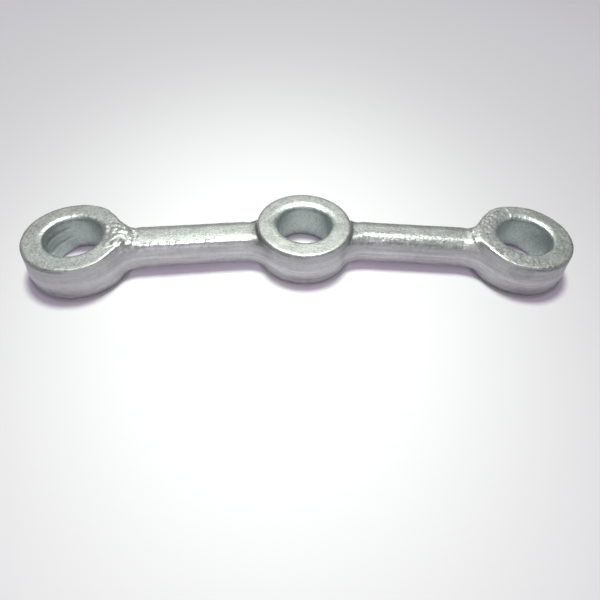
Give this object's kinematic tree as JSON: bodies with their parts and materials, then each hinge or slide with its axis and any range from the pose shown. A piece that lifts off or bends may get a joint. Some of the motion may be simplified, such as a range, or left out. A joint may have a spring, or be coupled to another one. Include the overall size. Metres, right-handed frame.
{
  "type": "spreader beam",
  "caption": "Short forged steel lifting beam with an eye at each end and one offset in the middle, on rounded arms.",
  "frame": {"origin": "centre of the middle pin hole, halfway through the thickness of the eyes", "axes": "+X along the beam, parallel to the line through the end pin holes; +Y towards the side that the middle eye bows out to; +Z along the pin holes, away from the face that the parting line lies nearer to"},
  "size_m": [0.195, 0.0417, 0.014],
  "materials": {
    "galvanised_steel": "hot-dip galvanised, matte silver grey with fine grain"
  },
  "bodies": {
    "root": {"beam_forging": "galvanised_steel"}
  },
  "joints": []
}
